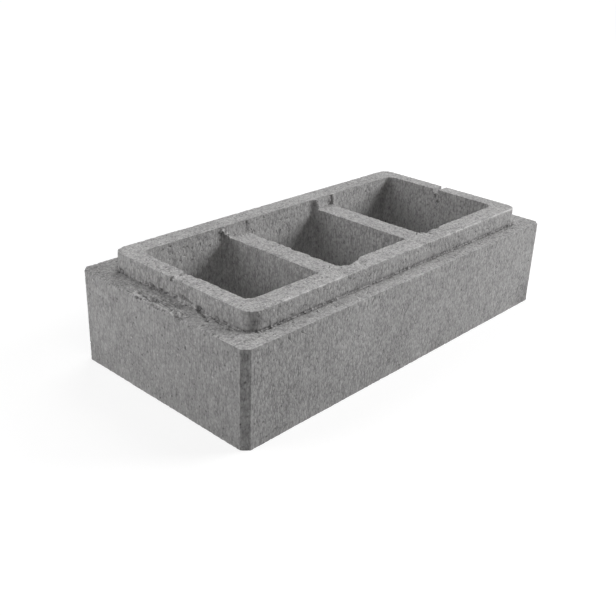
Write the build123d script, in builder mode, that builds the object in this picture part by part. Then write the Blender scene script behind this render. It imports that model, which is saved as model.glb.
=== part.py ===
from build123d import *
import os

# A hollow wall block of dense grey concrete, cast in one piece on its flat underside.
# Three cells run through it from top to bottom. A raised rim round the cells stands on
# a ledge, and the next block up drops over it with a matching socket.
# Millimetres. X runs along the block, Y across it, Z up. The origin is the middle of
# the underside, on the floor.

# Outer body, up to the ledge that carries the next course
length = 500.0
width = 250.0
body_height = 105.0
corner_chamfer = 7.0      # flat down each upright corner
ledge_arris = 1.0         # rounding of the ledge's outer edge

# Raised rim on top
rim_height = 20.0
end_ledge = 25.0          # ledge left beside the rim at each short end
side_ledge = 20.0         # ledge left beside the rim on each long side
rim_corner_radius = 15.0
rim_taper = 2.0           # degrees that the rim's faces lean in, so that the mould lets go
rim_arris = 1.0           # rounding of the rim's outer top edge
rim_root_radius = 1.0     # hollow where the rim meets the ledge

# Cells: they take what the walls and webs leave
cell_count = 3
rim_end_wall = 20.0       # rim's top, from its outer edge to the end cell
rim_side_wall = 25.0      # rim's top, from its outer edge to the cells
web_thickness = 28.0
cell_corner_radius = 10.0
core_taper = 1.0          # degrees: the cells narrow towards the underside

# Web tops, pressed down between the cores by a shoe a little wider than the web
web_drop = 13.0
shoe_overlap = 1.0

# Marks left by the bar that holds the cores, across the rim at each short end
bar_mark_width = 8.0
bar_mark_depth = 4.5
bar_mark_offset = 5.0     # the bar ran this far from the middle, towards the far long side

# Socket in the underside, over the rim of the block below
socket_clearance = 2.0    # gap round the rim
socket_headroom = 1.0     # gap over the rim's top

rim_length = length - 2 * end_ledge
rim_width = width - 2 * side_ledge
total_height = body_height + rim_height
cells_length = rim_length - 2 * rim_end_wall
cell_length = (cells_length - (cell_count - 1) * web_thickness) / cell_count
cell_width = rim_width - 2 * rim_side_wall
cell_pitch = cell_length + web_thickness

with BuildPart() as block:
    # body with its four upright corners taken off
    with BuildSketch() as outline:
        Rectangle(length, width)
        chamfer(outline.vertices(), corner_chamfer)
    extrude(amount=body_height)
    ledge_edge = block.faces().sort_by(Axis.Z)[-1].outer_wire().edges()
    fillet(ledge_edge, ledge_arris)

    # rim, drawn at its root and leaning in as it rises
    with BuildSketch(Plane.XY.offset(body_height)):
        RectangleRounded(rim_length, rim_width, rim_corner_radius)
    extrude(amount=rim_height, taper=rim_taper)
    rim_top_edge = block.faces().sort_by(Axis.Z)[-1].outer_wire().edges()
    fillet(rim_top_edge, rim_arris)
    ledge_face = block.faces().filter_by(Plane.XY).group_by(Axis.Z)[-2].sort_by(SortBy.AREA)[-1]
    fillet(ledge_face.inner_wires()[0].edges(), rim_root_radius)

    # cells, left by tapered cores that are drawn out through the top
    with BuildSketch(Plane.XY.offset(total_height)):
        with GridLocations(cell_pitch, 0, cell_count, 1):
            RectangleRounded(cell_length, cell_width, cell_corner_radius)
    extrude(amount=-total_height, taper=core_taper, mode=Mode.SUBTRACT)

    # web tops, pressed below the rim: the corners of the cells stay up as small fins
    with BuildSketch(Plane.XY.offset(total_height)):
        with GridLocations(cell_pitch, 0, cell_count - 1, 1):
            Rectangle(web_thickness + 2 * shoe_overlap, cell_width)
    extrude(amount=-web_drop, mode=Mode.SUBTRACT)

    # bar marks across the rim at both short ends, in line with each other
    with BuildSketch(Plane.XY.offset(total_height)):
        with Locations((0, bar_mark_offset)):
            with GridLocations(rim_length - rim_end_wall, 0, 2, 1):
                Rectangle(rim_end_wall + end_ledge, bar_mark_width)
    extrude(amount=-bar_mark_depth, mode=Mode.SUBTRACT)

    # socket in the underside, the rim's own shape with room to drop over it
    with BuildSketch():
        RectangleRounded(
            rim_length + 2 * socket_clearance,
            rim_width + 2 * socket_clearance,
            rim_corner_radius + socket_clearance,
        )
    extrude(amount=rim_height + socket_headroom, taper=rim_taper, mode=Mode.SUBTRACT)

block.part.label = "block"

os.makedirs("parts", exist_ok=True)
export_step(block.part, "parts/block.step")
print("volume in litres", round(block.part.volume / 1e6, 3))
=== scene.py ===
import math
import random

import bpy
import numpy as np
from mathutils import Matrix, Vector
from mathutils.bvhtree import BVHTree


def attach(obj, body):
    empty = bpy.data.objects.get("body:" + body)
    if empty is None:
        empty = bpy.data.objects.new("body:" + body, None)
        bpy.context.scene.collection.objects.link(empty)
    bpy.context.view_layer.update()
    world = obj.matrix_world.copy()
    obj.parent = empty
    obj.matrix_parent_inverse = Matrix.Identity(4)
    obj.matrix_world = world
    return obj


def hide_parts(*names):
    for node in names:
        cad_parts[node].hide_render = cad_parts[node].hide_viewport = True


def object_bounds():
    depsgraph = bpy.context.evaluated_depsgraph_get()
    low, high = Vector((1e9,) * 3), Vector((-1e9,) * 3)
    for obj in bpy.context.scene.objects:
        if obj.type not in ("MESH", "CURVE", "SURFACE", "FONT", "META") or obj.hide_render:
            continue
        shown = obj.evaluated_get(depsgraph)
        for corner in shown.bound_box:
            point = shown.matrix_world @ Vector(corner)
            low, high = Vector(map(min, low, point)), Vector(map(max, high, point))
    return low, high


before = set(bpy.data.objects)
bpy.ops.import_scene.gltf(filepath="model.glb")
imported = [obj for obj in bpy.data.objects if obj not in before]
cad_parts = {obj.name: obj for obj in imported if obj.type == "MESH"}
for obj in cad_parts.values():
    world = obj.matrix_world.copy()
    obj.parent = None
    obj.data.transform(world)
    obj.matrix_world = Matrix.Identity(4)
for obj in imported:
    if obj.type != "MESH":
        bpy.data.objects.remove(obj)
cad_low, cad_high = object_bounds()
bpy.ops.object.select_all(action="DESELECT")

# Camera
# It stands off the block's near left corner, a little above it, as the photographer did.
camera_place = (-0.6946, -0.6011, 0.4568)
camera_turn = [math.radians(angle) for angle in (64.634, -2.013, -46.666)]
camera_lens = 50.33

bpy.ops.object.camera_add(location=camera_place, rotation=camera_turn)
camera = bpy.context.active_object
camera.name = "camera"
camera.data.lens = camera_lens
camera.data.sensor_width = 36.0
bpy.context.scene.camera = camera


# Studio
# Soft boxes stand to the left, to the right and beyond the block, and only a small weak one
# hangs over the near side, so the near corner stays the darkest. The floor and the air are
# white to the eye, and the floor keeps a soft shadow.
bpy.context.scene.view_settings.view_transform = "Standard"
aim = Vector((0, 0, 0.06))
camera_bearing = math.atan2(camera_place[1], camera_place[0])


def soft_box(name, left_of_camera, above_floor, watts, away=1.6, size=0.8):
    """A square lamp that faces the block, at these angles in degrees."""
    bearing = camera_bearing - math.radians(left_of_camera)
    rise = math.radians(above_floor)
    level = math.cos(rise)
    out = Vector((level * math.cos(bearing), level * math.sin(bearing), math.sin(rise)))
    bpy.ops.object.light_add(type="AREA", location=aim + out * away)
    lamp = bpy.context.active_object
    lamp.name = name
    lamp.data.shape = "SQUARE"
    lamp.data.size = size
    lamp.data.energy = watts
    lamp.rotation_euler = (-out).to_track_quat("-Z", "Y").to_euler()


soft_box("box_right", -106, 25, 42.0, away=2.1, size=1.0)
soft_box("box_far", 180, 56, 8.6)
soft_box("box_left_low", 62, 15, 4.0)
soft_box("box_left_near", 62, 25, 2.2, away=0.9, size=0.5)
soft_box("box_over", -4, 57, 0.90, away=0.77, size=0.35)


def seen_share(nodes, links):
    """1 where the eye, a mirror or clear glass looks, and 0 where light is gathered."""
    ray = nodes.new("ShaderNodeLightPath")
    total = ray.outputs["Is Camera Ray"]
    for kind in ("Is Glossy Ray", "Is Transmission Ray"):
        add = nodes.new("ShaderNodeMath")
        add.operation = "MAXIMUM"
        links.new(total, add.inputs[0])
        links.new(ray.outputs[kind], add.inputs[1])
        total = add.outputs[0]
    return total


world = bpy.data.worlds.new("studio")
bpy.context.scene.world = world
world.use_nodes = True
nodes = world.node_tree.nodes
links = world.node_tree.links
nodes.clear()
dim = nodes.new("ShaderNodeBackground")
dim.inputs["Color"].default_value = (1, 1, 1, 1)
dim.inputs["Strength"].default_value = 0.02
white = nodes.new("ShaderNodeBackground")
white.inputs["Color"].default_value = (1, 1, 1, 1)
white.inputs["Strength"].default_value = 1.0
either = nodes.new("ShaderNodeMixShader")
sky = nodes.new("ShaderNodeOutputWorld")
links.new(seen_share(nodes, links), either.inputs["Fac"])
links.new(dim.outputs[0], either.inputs[1])
links.new(white.outputs[0], either.inputs[2])
links.new(either.outputs[0], sky.inputs["Surface"])

bpy.ops.mesh.primitive_plane_add(size=30.0, location=(0, 0, 0))
floor = bpy.context.active_object
floor.name = "floor"
floor_paint = bpy.data.materials.new("white_floor")
floor_paint.use_nodes = True
nodes = floor_paint.node_tree.nodes
links = floor_paint.node_tree.links
nodes.clear()
matt = nodes.new("ShaderNodeBsdfDiffuse")
matt.inputs["Color"].default_value = (0.56, 0.56, 0.56, 1)
shaded = nodes.new("ShaderNodeBsdfDiffuse")
shaded.inputs["Color"].default_value = (0.30, 0.30, 0.30, 1)
spot = nodes.new("ShaderNodeTexCoord")
reach = nodes.new("ShaderNodeVectorMath")
reach.operation = "LENGTH"
fade = nodes.new("ShaderNodeMapRange")
fade.inputs["From Min"].default_value = 0.45
fade.inputs["From Max"].default_value = 1.20
fade.inputs["To Min"].default_value = 0.78
fade.inputs["To Max"].default_value = 1.0
glow = nodes.new("ShaderNodeEmission")
glow.inputs["Color"].default_value = (1, 1, 1, 1)
lit = nodes.new("ShaderNodeAddShader")
either = nodes.new("ShaderNodeMixShader")
out = nodes.new("ShaderNodeOutputMaterial")
links.new(spot.outputs["Object"], reach.inputs[0])
links.new(reach.outputs["Value"], fade.inputs["Value"])
links.new(fade.outputs["Result"], glow.inputs["Strength"])
links.new(shaded.outputs[0], lit.inputs[0])
links.new(glow.outputs[0], lit.inputs[1])
links.new(seen_share(nodes, links), either.inputs["Fac"])
links.new(matt.outputs[0], either.inputs[1])
links.new(lit.outputs[0], either.inputs[2])
links.new(either.outputs[0], out.inputs["Surface"])
floor.data.materials.append(floor_paint)


# Cast block
# Dense grey concrete, pressed into a steel mould on a flat pallet and lifted out while
# still green. The mould drags its walls upright, and the fins beside the web tops, the
# rim's edges and the bar marks crumble as it is handled.
mm = 0.001
ledge_height = 105 * mm
end_ledge = 25 * mm
side_ledge = 20 * mm
rim_corner = 15 * mm
rim_lean = 0.7 * mm
web_top = 112 * mm
slot_half = 15 * mm
cell_half_length = 59 * mm
cell_half_width = 80 * mm
cell_pitch = 146 * mm
cell_corner = 10 * mm
corner_flat = 7 * mm
web_middle = cell_pitch / 2
half_length = cad_high.x
half_width = cad_high.y
rim_top = cad_high.z
rim_half_length = half_length - end_ledge
rim_half_width = half_width - side_ledge

block = bpy.data.objects.new("cast_block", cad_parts["block"].data.copy())
bpy.context.scene.collection.objects.link(block)
block.data.materials.clear()


def work_on(piece):
    """Leaves this piece alone selected and active."""
    bpy.ops.object.select_all(action="DESELECT")
    piece.select_set(True)
    bpy.context.view_layer.objects.active = piece


work_on(block)
bpy.ops.object.mode_set(mode="EDIT")
bpy.ops.mesh.select_all(action="SELECT")
bpy.ops.mesh.remove_doubles(threshold=0.01 * mm)
bpy.ops.object.mode_set(mode="OBJECT")


def roughen(stone, radii, offset, seed, turn, cuts):
    """Gives a new primitive its size, in millimetres, and an uneven skin."""
    stone.scale = radii
    stone.rotation_euler = (0, 0, math.radians(turn))
    bpy.ops.object.transform_apply(location=True, rotation=True, scale=True)
    bpy.ops.object.mode_set(mode="EDIT")
    bpy.ops.mesh.select_all(action="SELECT")
    if cuts:
        bpy.ops.mesh.subdivide(number_cuts=cuts)
    bpy.ops.transform.vertex_random(offset=offset * mm, seed=seed, normal=0.5)
    bpy.ops.object.mode_set(mode="OBJECT")
    return stone


def lump(place, radii, seed, turn=0.0):
    """A knobbly round stone, in millimetres."""
    bpy.ops.mesh.primitive_ico_sphere_add(subdivisions=3, radius=mm, location=Vector(place) * mm)
    offset = min(0.6, 0.14 * min(radii))
    return roughen(bpy.context.active_object, radii, offset, seed, turn, 0)


def chunk(place, radii, seed, turn=0.0):
    """A squared stone with broken faces, in millimetres."""
    bpy.ops.mesh.primitive_cube_add(size=2 * mm, location=Vector(place) * mm)
    return roughen(bpy.context.active_object, radii, 0.25, seed, turn, 6)


def join(stones):
    """Makes one object of several."""
    work_on(stones[0])
    for stone in stones:
        stone.select_set(True)
    bpy.ops.object.join()
    return bpy.context.active_object


# What has broken away. The fins beside the web tops are the thinnest parts, and the rim's
# inner edge has gone with two of them.
knocked_off = join([
    # far side: the left web's two fins, then part of the right web's right fin and its left tip
    chunk((-93.5, 72.4, 121.6), (6.4, 7.1, 6.0), 1),
    chunk((-53.0, 72.4, 119.8), (5.8, 7.1, 7.3), 2),
    chunk((88.6, 73.2, 119.4), (4.0, 4.0, 6.9), 3),
    lump((58.2, 75.6, 125.6), (2.4, 2.6, 1.8), 4),
    # near side: the left web's right fin and the rim beside it, then the right web's
    lump((-60, -76, 127), (12.5, 9.0, 13.0), 5),
    lump((-70, -82, 129), (15, 7.0, 7.0), 6, 3),
    lump((86, -76, 129), (10.5, 8.0, 9.5), 7),
    lump((68, -80, 129), (13, 5.5, 6.5), 8, -3),
    # shallow flakes off the rim's top beside them
    lump((-57, -93, 131), (19, 12, 6.8), 9, 20),
    lump((64, -92, 131), (18, 13, 6.9), 10),
    # the rim beside the left bar mark, its two ends, and pits under the right one
    lump((-204, -5, 128.6), (6, 15, 5.0), 11),
    lump((-204.5, 7.4, 125.6), (3.4, 4.4, 3.4), 12),
    lump((-225.8, 5.4, 122.8), (3.2, 2.6, 2.4), 13),
    lump((205, 5, 116), (1.8, 2.2, 3.0), 14),
    lump((205, 0, 110), (1.6, 1.8, 2.8), 15),
    # left ledge: a scooped hollow, chips off its edge and pits at the rim's foot
    lump((-232, -12, 109.2), (8.5, 18, 5.8), 16),
    chunk((-249.2, -33, 104.6), (2.8, 6.5, 1.8), 17, 4),
    chunk((-246.6, -22, 106.3), (3.4, 6.0, 2.2), 23, -6),
    chunk((-241.5, -35, 106.5), (3.6, 4.2, 2.3), 24, 12),
    lump((-226.5, -38, 106), (3.2, 4.6, 2.8), 18),
    lump((-229.5, -49, 105.2), (3.0, 4.0, 2.5), 19),
    lump((-233.5, -57, 105.3), (2.2, 3.6, 1.9), 25),
    lump((-227.5, -66, 105.4), (2.8, 4.8, 2.5), 20),
    lump((-230.5, -84, 105.2), (2.2, 3.4, 1.8), 26),
    lump((-226, 22, 106), (2.2, 4.2, 1.8), 21),
    # two lost pebbles in the long face
    lump((77.6, -125.2, 25), (1.9, 2.2, 1.9), 27),
    lump((-135.5, -125.2, 55.5), (1.6, 1.9, 1.6), 28),
])


def fuse(operation, stones):
    """Takes the stones out of the block, or sticks them to it."""
    work_on(block)
    layer = block.modifiers.new(stones.name, "BOOLEAN")
    layer.operation = operation
    layer.solver = "EXACT"
    layer.use_self = True
    layer.object = stones
    bpy.ops.object.modifier_apply(modifier=layer.name)
    bpy.data.objects.remove(stones)


def crumbs(count, low, high, radius, seed):
    """Grains, in millimetres, strewn through a box: the place, radii, seed and turn of each."""
    pick = random.Random(seed)
    made = []
    for number in range(count):
        place = [pick.uniform(a, b) for a, b in zip(low, high)]
        radii = [radius * pick.uniform(0.6, 1.3) for axis in range(3)]
        made.append((place, radii, seed + number, pick.uniform(0, 180)))
    return made


# What is left there: crumbs on the stubs of the left web's fins, down the edges of the right
# web's far ones, along the left ledge and in the left bar mark, and one on the near ledge
broken_grains = (
    crumbs(8, (-98, 77, 118.5), (-93, 79.5, 121.5), 1.4, 20)
    + crumbs(8, (-94, 75.5, 114.8), (-88, 79, 118.0), 1.5, 200)
    + crumbs(6, (-90, 73, 111.8), (-83, 79, 113.0), 1.4, 30)
    + crumbs(4, (-57, 75, 112.0), (-50, 79, 113.2), 1.2, 40)
    + crumbs(5, (-57, -80, 113), (-50, -74, 115), 1.3, 50)
    + crumbs(30, (-222, 0.6, 122.0), (-206, 9.4, 123.6), 1.6, 60)
    + crumbs(12, (-248, -20, 104.6), (-236, 55, 105.2), 1.5, 90)
    + crumbs(9, (-247, -38, 104.0), (-239, -18, 105.0), 1.5, 220)
    + crumbs(5, (83.4, 79.4, 112.6), (84.4, 80.2, 123.6), 1.2, 130)
    + crumbs(7, (88.8, 77.2, 112.6), (89.8, 78.0, 123.2), 1.1, 140)
    + crumbs(4, (84.0, 79.6, 123.4), (91.0, 80.6, 124.2), 1.2, 150)
    + [
        ((57.6, 75.2, 123.0), (1.7, 1.7, 1.9), 110),
        ((57.2, 75.4, 120.2), (1.5, 1.6, 1.5), 111),
        ((58.4, 74.9, 117.2), (1.8, 1.7, 1.7), 112),
        ((58.6, 75.0, 114.2), (1.8, 1.8, 2.0), 115),
        ((-208.6, 0.6, 122.4), (2.4, 1.8, 1.5), 113),
        ((-143.8, -111.5, 105.2), (1.0, 1.0, 0.8), 114),
    ]
)
fuse("DIFFERENCE", knocked_off)
fuse("UNION", join(
    [lump(*grain) for grain in broken_grains]
    + [
        # a ridge at the near end of the right web, and the plug in the left bar mark
        lump((86.2, -67, 111.6), (2.6, 9.0, 3.2), 120),
        lump((-214.5, 5, 121.0), (9.6, 4.8, 2.6), 121),
    ]
))

# The wear that follows needs a mesh that is as fine all over as its grain
even = block.modifiers.new("even_mesh", "REMESH")
even.mode = "SHARP"
even.octree_depth = 9
even.scale = 0.99
even.use_remove_disconnected = True
even.threshold = 0.1
bpy.ops.object.modifier_apply(modifier=even.name)


def from_outline(x, y, half_x, half_y, corner):
    """How far points lie outside a rounded rectangle about the origin."""
    past_x = np.abs(x) - half_x + corner
    past_y = np.abs(y) - half_y + corner
    outside = np.hypot(np.maximum(past_x, 0), np.maximum(past_y, 0))
    return outside + np.minimum(np.maximum(past_x, past_y), 0) - corner


def lie_of(mesh):
    """Where each vertex is, and how far it lies outside the body, the rim and the cells."""
    flat = np.zeros(len(mesh.vertices) * 3, np.float32)
    mesh.vertices.foreach_get("co", flat)
    x, y, z = flat.reshape(-1, 3).T.astype(float)
    past_flat = (np.abs(x) + np.abs(y) - half_length - half_width + corner_flat) / math.sqrt(2)
    past_body = np.max([np.abs(x) - half_length, np.abs(y) - half_width, past_flat], axis=0)
    past_rim = from_outline(x, y, rim_half_length, rim_half_width, rim_corner)
    past_cells = np.min([
        from_outline(x - middle, y, cell_half_length, cell_half_width, cell_corner)
        for middle in (-cell_pitch, 0, cell_pitch)
    ], axis=0)
    return x, y, z, past_body, past_rim, past_cells


def near(distance, reach):
    """1 on the line and 0 past its reach, with a smooth fall between."""
    share = np.clip(1 - np.abs(distance) / reach, 0, 1)
    return share * share * (3 - 2 * share)


def paint_group(name, weights):
    """A vertex group of the block with these weights, in twentieths."""
    group = block.vertex_groups.new(name=name)
    steps = np.round(np.clip(weights, 0, 1) * 20).astype(int)
    for step in range(1, 21):
        group.add(np.flatnonzero(steps == step).tolist(), step / 20, "REPLACE")


def clouds(name, size, detail, bare=0.0, full=1.0):
    """A cloudy texture, size in millimetres. It is 0 below bare and 1 above full."""
    texture = bpy.data.textures.new(name, "CLOUDS")
    texture.noise_scale = size * mm
    texture.noise_depth = detail
    texture.noise_basis = "BLENDER_ORIGINAL"
    texture.use_color_ramp = True
    ramp = texture.color_ramp
    ramp.elements[0].position = bare
    ramp.elements[0].color = (0, 0, 0, 1)
    ramp.elements[1].position = full
    ramp.elements[1].color = (1, 1, 1, 1)
    return texture


def wear_away(group, texture, depth, stretch=(1, 1, 1), shift=0.0):
    """Sinks a group's surface by up to depth, in millimetres, where the texture is bright.

    The texture is drawn out by stretch and starts at a shift of its own, in metres."""
    bpy.ops.object.empty_add(location=(shift, shift, shift))
    grid = bpy.context.active_object
    grid.scale = stretch
    bpy.context.view_layer.update()
    work_on(block)
    layer = block.modifiers.new(texture.name, "DISPLACE")
    layer.texture = texture
    layer.texture_coords = "OBJECT"
    layer.texture_coords_object = grid
    layer.vertex_group = group
    layer.mid_level = 0.0
    layer.strength = -depth * mm
    bpy.ops.object.modifier_apply(modifier=layer.name)
    bpy.data.objects.remove(grid)


# Where it wears, as shares from 0 to 1: the walls, where the mould drags the skin; the edges
# that stones knock; and the foot of the rim, where little cement gets
arris_reach = 2.5 * mm
x, y, z, past_body, past_rim, past_cells = lie_of(block.data)
from_web = np.abs(np.abs(x) - web_middle)
fins = (from_web < slot_half + cell_corner) & (z > web_top - 2 * mm)
outer_walls = near(past_body, 3 * mm) * (z < ledge_height - 1 * mm)
rim_walls = near(past_rim, 2.5 * mm) * (z > ledge_height + 1 * mm) * (z < rim_top - 1 * mm)
cell_walls = near(past_cells, 4 * mm) * (z < rim_top - 1 * mm) * ~fins
arris = np.max([
    near(np.hypot(past_body, z - ledge_height), arris_reach),
    near(np.hypot(past_rim + rim_lean, z - rim_top), arris_reach),
    near(np.hypot(past_cells, z - rim_top), arris_reach) * ~fins,
], axis=0)
foot = near(np.hypot(past_body, z), arris_reach)
upright_edge = near(np.minimum(
    np.hypot(np.abs(x) - half_length, np.abs(y) - half_width + corner_flat),
    np.hypot(np.abs(x) - half_length + corner_flat, np.abs(y) - half_width),
), 3 * mm)
web_edge = near(np.hypot(past_cells, z - web_top), 3.5 * mm) * (from_web < slot_half + 3 * mm)
web_edge *= np.where(x < 0, 1.0, 0.4)

# The left ledge wears most, short of its two corners. Its outer edge is rubbed round, but
# for the fresh chips in it, its middle has flaked in streaks, and the rim's foot is open there
wear_front = -92 * mm
wear_back = 118 * mm
chips_middle = -29 * mm
flaked_line = 0.3 * end_ledge
from_root = np.hypot(past_rim - 0.5 * mm, z - ledge_height)
at_left = np.clip((y - wear_front) / (20 * mm), 0, 1) * np.clip((wear_back - y) / (15 * mm), 0, 1)
at_left *= x < 0
beside_rim = at_left * (x < end_ledge - half_length + 3 * mm)
root = near(from_root, 2.6 * mm) * (1 - 0.6 * beside_rim)
left_root = near(from_root, 6 * mm) * beside_rim
left_edge = near(np.hypot(x + half_length, z - ledge_height), 10 * mm) * at_left
left_edge *= 1 - 0.9 * near(y - chips_middle, 18 * mm)
streaks = near(x + half_length - flaked_line, 0.5 * end_ledge) * near(y - 18 * mm, 50 * mm)
streaks *= near(z - ledge_height, 8 * mm)
edges = np.max([arris, foot, upright_edge, web_edge, root, left_root, left_edge, streaks], axis=0)
seen_top = (z > ledge_height - 6 * mm) * 0.9

paint_group("everywhere", np.ones_like(x))
paint_group("walls", np.maximum(outer_walls, np.maximum(rim_walls, cell_walls)))
paint_group("cell_walls", cell_walls)
paint_group("arris", arris)
paint_group("foot", foot)
paint_group("web_edge", web_edge)
paint_group("root", root)
paint_group("left_root", left_root)
paint_group("left_edge", left_edge)
paint_group("streaks", streaks)

rub = block.modifiers.new("rubbed_round", "SMOOTH")
rub.factor = 0.5
rub.iterations = 40
rub.vertex_group = "left_edge"
bpy.ops.object.modifier_apply(modifier=rub.name)
wear_away("everywhere", clouds("uneven", 60, 2), 0.4)
wear_away("everywhere", clouds("grain", 2.6, 2, 0.35, 0.75), 0.18)
wear_away("everywhere", clouds("pits", 3.2, 3, 0.69, 0.78), 0.9, shift=0.3)
wear_away("walls", clouds("drag", 2.4, 1, 0.4, 0.8), 0.07, stretch=(1, 1, 5))
wear_away("cell_walls", clouds("open_grain", 4.0, 3, 0.55, 0.75), 0.5, shift=0.6)
wear_away("arris", clouds("worn_edge", 3.5, 3, 0.48, 0.8), 0.6, shift=0.1)
wear_away("foot", clouds("worn_foot", 5, 2, 0.5, 0.8), 0.35, shift=0.7)
wear_away("web_edge", clouds("crumbly_web", 8, 4, 0.44, 0.70), 1.3, shift=0.8)
wear_away("root", clouds("open_root", 3.0, 3, 0.28, 0.48), 1.4, shift=0.2)
wear_away("left_root", clouds("crumbly_root", 4.5, 3, 0.50, 0.66), 2.0, stretch=(1, 1.6, 1), shift=0.9)
wear_away("streaks", clouds("flaked_layers", 3.2, 2, 0.42, 0.60), 1.9, stretch=(1, 5, 1), shift=0.4)

# A stored mesh holds under 200,000 triangles, so the parts out of sight give up most of theirs
most_triangles = 196000
paint_group("thinned", 1.0 - 0.9 * np.maximum(seen_top, edges))
thin = block.modifiers.new("thin", "DECIMATE")
thin.ratio = most_triangles / (2 * len(block.data.polygons))
thin.vertex_group = "thinned"
thin.vertex_group_factor = 1.0
bpy.ops.object.modifier_apply(modifier=thin.name)

# It stays within its nominal size
x, y, z, _, past_rim, _ = lie_of(block.data)
held = np.clip(np.stack([x, y, z], axis=1), np.array(cad_low), np.array(cad_high))
block.data.vertices.foreach_set("co", held.astype(np.float32).ravel())
block.vertex_groups.clear()
block.data.update()
bpy.ops.object.shade_smooth_by_angle(angle=math.radians(28))


def note(name, values):
    """Keeps a number at each vertex, for the finish to read."""
    kept = block.data.attributes.new(name, "FLOAT", "POINT")
    kept.data.foreach_set("value", np.asarray(values, np.float32))


def from_point(place):
    """How far each vertex is from a place that is given in millimetres."""
    return np.sqrt((x - place[0] * mm) ** 2 + (y - place[1] * mm) ** 2 + (z - place[2] * mm) ** 2)


# Pits are the points that lie just under the surface that the mould gave, and they are
# painted darker as shade in the hollows. A highlight is painted pale along the rim's outer
# top edge on the near side. Broken grains are paler, as fresh breaks are, and are brightened
# further as painted light where they sit in shade. Shade is painted dark along the rim's foot,
# and dirt gathers on the ledge away from the near corner and low on the long face's right end.
depsgraph = bpy.context.evaluated_depsgraph_get()
as_moulded = BVHTree.FromObject(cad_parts["block"], depsgraph)
sunk = np.zeros(len(block.data.vertices))
for number, vertex in enumerate(block.data.vertices):
    place, normal, _, _ = as_moulded.find_nearest(vertex.co)
    sunk[number] = max(0.0, (place - vertex.co).dot(normal)) / mm
pit_shade = np.clip((sunk - 0.7) / 1.1, 0, 1) * np.clip(3.6 - sunk, 0, 1)
# painted highlight along the rim's outer top edge on the near side, fainter about the middle
rim_highlight = near(np.hypot(past_rim + 1.4 * mm, z - rim_top), 2.4 * mm)
rim_highlight *= (y < -88 * mm) * (x > -205 * mm) * (1 - 0.7 * near(x + 20 * mm, 75 * mm))
# painted shade: a dark band along the rim's foot where its groove lies in shade, half as dark beside
# the left rim
beside_rim = (x < end_ledge - half_length + 3 * mm) * (y > -85 * mm)
root_shade = near(np.hypot(past_rim - 0.8 * mm, z - ledge_height), 2.6 * mm) * (1 - 0.5 * beside_rim)
layered = near(x + half_length - flaked_line, 0.6 * end_ledge) * near(y - 12 * mm, 60 * mm)
layered *= near(z - ledge_height, 8 * mm)
# broken grains are paler as fresh breaks are, and brightened further as painted light where they sit
# in shade
fresh_and_highlight = np.zeros(len(x))
for place, radii, *_ in broken_grains:
    fresh_and_highlight = np.maximum(fresh_and_highlight, near(from_point(place), (max(radii) + 1.2) * mm))
dusty_right = (y < -104 * mm) * np.clip((x - 20 * mm) / (150 * mm), 0, 1)
dusty_left = (x < -224 * mm) * np.clip((y - 30 * mm) / (40 * mm), 0, 1)
dusty = np.maximum(dusty_right, dusty_left) * near(z - ledge_height, 3 * mm)
smudge = np.maximum(near(from_point((240, -125, 10)), 40 * mm), 0.4 * dusty)
note("pit_shade", pit_shade)
note("rim_highlight", rim_highlight)
note("root_shade", root_shade)
note("layered", layered)
note("fresh_and_highlight", fresh_and_highlight)
note("smudge", smudge)


dark_cement = (0.121, 0.119, 0.119, 1)
pale_cement = (0.642, 0.634, 0.631, 1)


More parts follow.
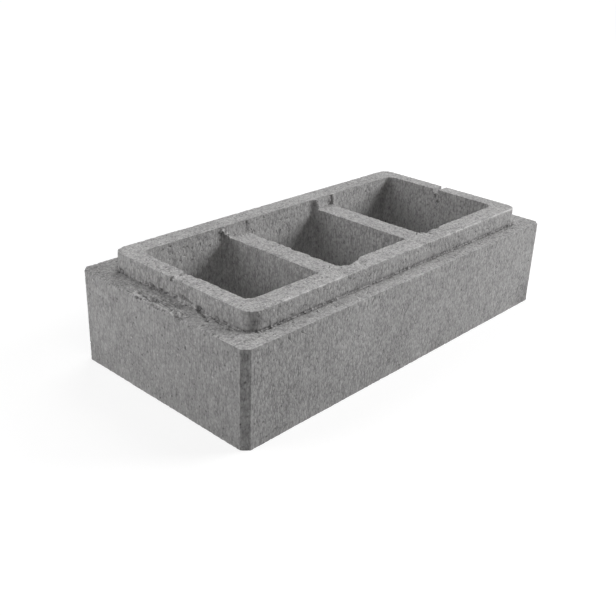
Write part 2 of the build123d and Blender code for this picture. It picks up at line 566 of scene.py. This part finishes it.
def concrete():
    """Grey concrete: mottled cement, sand grains, drag marks on its walls and pits painted dark as
    shade.
    """
    material = bpy.data.materials.new("grey_concrete")
    material.use_nodes = True
    nodes = material.node_tree.nodes
    links = material.node_tree.links
    nodes.clear()
    coordinates = nodes.new("ShaderNodeTexCoord")
    place = coordinates.outputs["Object"]

    def noise(scale, detail, source=place):
        texture = nodes.new("ShaderNodeTexNoise")
        texture.inputs["Scale"].default_value = scale
        texture.inputs["Detail"].default_value = detail
        texture.inputs["Roughness"].default_value = 0.6
        links.new(source, texture.inputs["Vector"])
        return texture.outputs["Fac"]

    def grains(scale, source=place):
        texture = nodes.new("ShaderNodeTexVoronoi")
        texture.inputs["Scale"].default_value = scale
        links.new(source, texture.inputs["Vector"])
        parts = nodes.new("ShaderNodeSeparateColor")
        links.new(texture.outputs["Color"], parts.inputs[0])
        return texture.outputs["Distance"], parts.outputs["Red"], parts.outputs["Green"]

    def spread(value, low, high, bottom=0.0, top=1.0):
        rescale = nodes.new("ShaderNodeMapRange")
        rescale.inputs["From Min"].default_value = low
        rescale.inputs["From Max"].default_value = high
        rescale.inputs["To Min"].default_value = bottom
        rescale.inputs["To Max"].default_value = top
        links.new(value, rescale.inputs["Value"])
        return rescale.outputs["Result"]

    def combine(operation, first, second):
        result = nodes.new("ShaderNodeMath")
        result.operation = operation
        for socket, value in zip(result.inputs, (first, second)):
            if isinstance(value, (int, float)):
                socket.default_value = value
            else:
                links.new(value, socket)
        return result.outputs[0]

    def total(*values):
        result = values[0]
        for value in values[1:]:
            result = combine("ADD", result, value)
        return result

    def read(name):
        attribute = nodes.new("ShaderNodeAttribute")
        attribute.attribute_name = name
        return attribute.outputs["Fac"]

    # walls and level faces, told apart by the way they face
    facing = nodes.new("ShaderNodeSeparateXYZ")
    links.new(coordinates.outputs["Normal"], facing.inputs[0])
    wall = spread(combine("ABSOLUTE", facing.outputs["Z"], 0.0), 0.75, 0.35)
    level = combine("SUBTRACT", 1.0, wall)

    # the mould draws the grains on the walls out upright, and drag marks run up them; the
    # left ledge has flaked in layers along its length
    def drawn_out(*shares):
        lengthen = nodes.new("ShaderNodeMapping")
        lengthen.inputs["Scale"].default_value = shares
        links.new(place, lengthen.inputs["Vector"])
        return lengthen.outputs["Vector"]

    drawn = drawn_out(1, 1, 0.55)
    drag = noise(520, 2, drawn_out(1, 1, 0.14))
    flake = noise(420, 2, drawn_out(1, 0.16, 1))
    mottle = noise(14, 4)
    blotch = noise(75, 3)
    fine = noise(750, 3, drawn)
    sand_gap, sand_tone, _ = grains(540, drawn)
    stone_gap, stone_tone, stone_pick = grains(260)

    # how light the skin is, about a middle of 0.5
    pale_stone = combine("MULTIPLY", spread(stone_gap, 0.30, 0.18), spread(stone_pick, 0.965, 0.985))
    dark_stone = combine("MULTIPLY", spread(stone_gap, 0.40, 0.20), spread(stone_tone, 0.94, 0.97))
    # a highlight painted pale along the rim's outer top edge, blotchy along its length
    painted_rim_highlight = combine("MULTIPLY", read("rim_highlight"), spread(blotch, 0.40, 0.58))
    tone = total(
        spread(mottle, 0.30, 0.70, -0.05, 0.05),
        spread(blotch, 0.30, 0.70, -0.06, 0.06),
        spread(fine, 0.30, 0.70, -0.10, 0.10),
        combine("MULTIPLY", spread(sand_tone, 0.0, 1.0, -0.17, 0.17), spread(level, 0, 1, 0.75, 1.15)),
        spread(sand_gap, 0.35, 0.75, 0.03, -0.12),
        combine("MULTIPLY", wall, spread(drag, 0.35, 0.65, -0.08, 0.08)),
        combine("MULTIPLY", read("layered"), spread(flake, 0.38, 0.62, -0.45, 0.40)),
        # level faces are painted a little paler: painted light, as the tops catch more of it
        combine("MULTIPLY", level, 0.025),
        combine("MULTIPLY", pale_stone, 0.35),
        combine("MULTIPLY", dark_stone, -0.30),
        # pits painted darker: painted shade in the hollows
        combine("MULTIPLY", read("pit_shade"), -0.26),
        # painted shade along the rim's foot
        combine("MULTIPLY", read("root_shade"), -0.16),
        combine("MULTIPLY", read("smudge"), -0.20),
        # broken grains: fresh breaks, brightened further as painted light
        combine("MULTIPLY", read("fresh_and_highlight"), 0.46),
        combine("MULTIPLY", painted_rim_highlight, 0.55),
        0.5,
    )
    colour = nodes.new("ShaderNodeMix")
    colour.data_type = "RGBA"
    colour.inputs["A"].default_value = dark_cement
    colour.inputs["B"].default_value = pale_cement
    links.new(tone, colour.inputs["Factor"])

    height = total(
        spread(sand_gap, 0.1, 0.8, 0.5, 0.0),
        combine("MULTIPLY", sand_tone, 0.3),
        spread(fine, 0.3, 0.7, 0.0, 0.35),
        combine("MULTIPLY", wall, spread(drag, 0.3, 0.7, 0.0, 0.4)),
        combine("MULTIPLY", dark_stone, -0.5),
    )
    bump = nodes.new("ShaderNodeBump")
    bump.inputs["Strength"].default_value = 0.7
    bump.inputs["Distance"].default_value = 0.42 * mm
    links.new(height, bump.inputs["Height"])

    skin = nodes.new("ShaderNodeBsdfPrincipled")
    skin.inputs["Specular IOR Level"].default_value = 0.3
    links.new(colour.outputs["Result"], skin.inputs["Base Color"])
    links.new(spread(fine, 0.3, 0.7, 0.86, 0.97), skin.inputs["Roughness"])
    links.new(bump.outputs["Normal"], skin.inputs["Normal"])
    out = nodes.new("ShaderNodeOutputMaterial")
    links.new(skin.outputs["BSDF"], out.inputs["Surface"])
    return material


block.data.materials.append(concrete())
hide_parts("block")
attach(block, "root")
